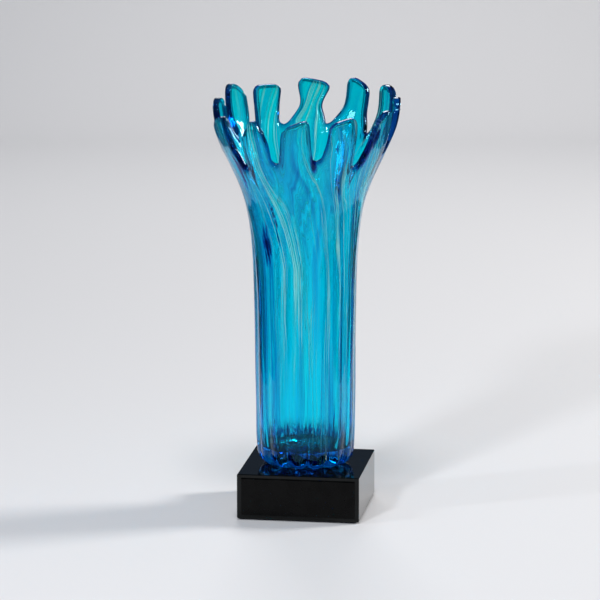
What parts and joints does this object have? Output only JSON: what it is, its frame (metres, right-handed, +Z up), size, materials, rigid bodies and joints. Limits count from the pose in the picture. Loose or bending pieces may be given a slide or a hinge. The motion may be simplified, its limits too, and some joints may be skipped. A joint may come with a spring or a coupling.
{
  "type": "glass wave sculpture",
  "caption": "Tall blown blue glass vessel with a flared crown of wavy fingers, bonded to a black glass block with a blank engraving plate.",
  "frame": {"origin": "middle of the resting plane, under the block's vertical axis, at the undersides of the bumper pads", "axes": "+Z up, -Y towards the viewer through the engraving plate, +X to the viewer's right"},
  "size_m": [0.1578, 0.1583, 0.3545],
  "materials": {
    "blue_glass": "gloss",
    "black_glass": "gloss",
    "clear_adhesive": "gloss",
    "black_plate": "satin",
    "adhesive_film": "matte",
    "clear_rubber": "satin"
  },
  "bodies": {
    "root": {"glass_vessel": "blue_glass", "base_block": "black_glass", "bond_layer": "clear_adhesive", "engraving_plate": "black_plate", "plate_tape": "adhesive_film", "bumper_pads": "clear_rubber"}
  },
  "joints": []
}
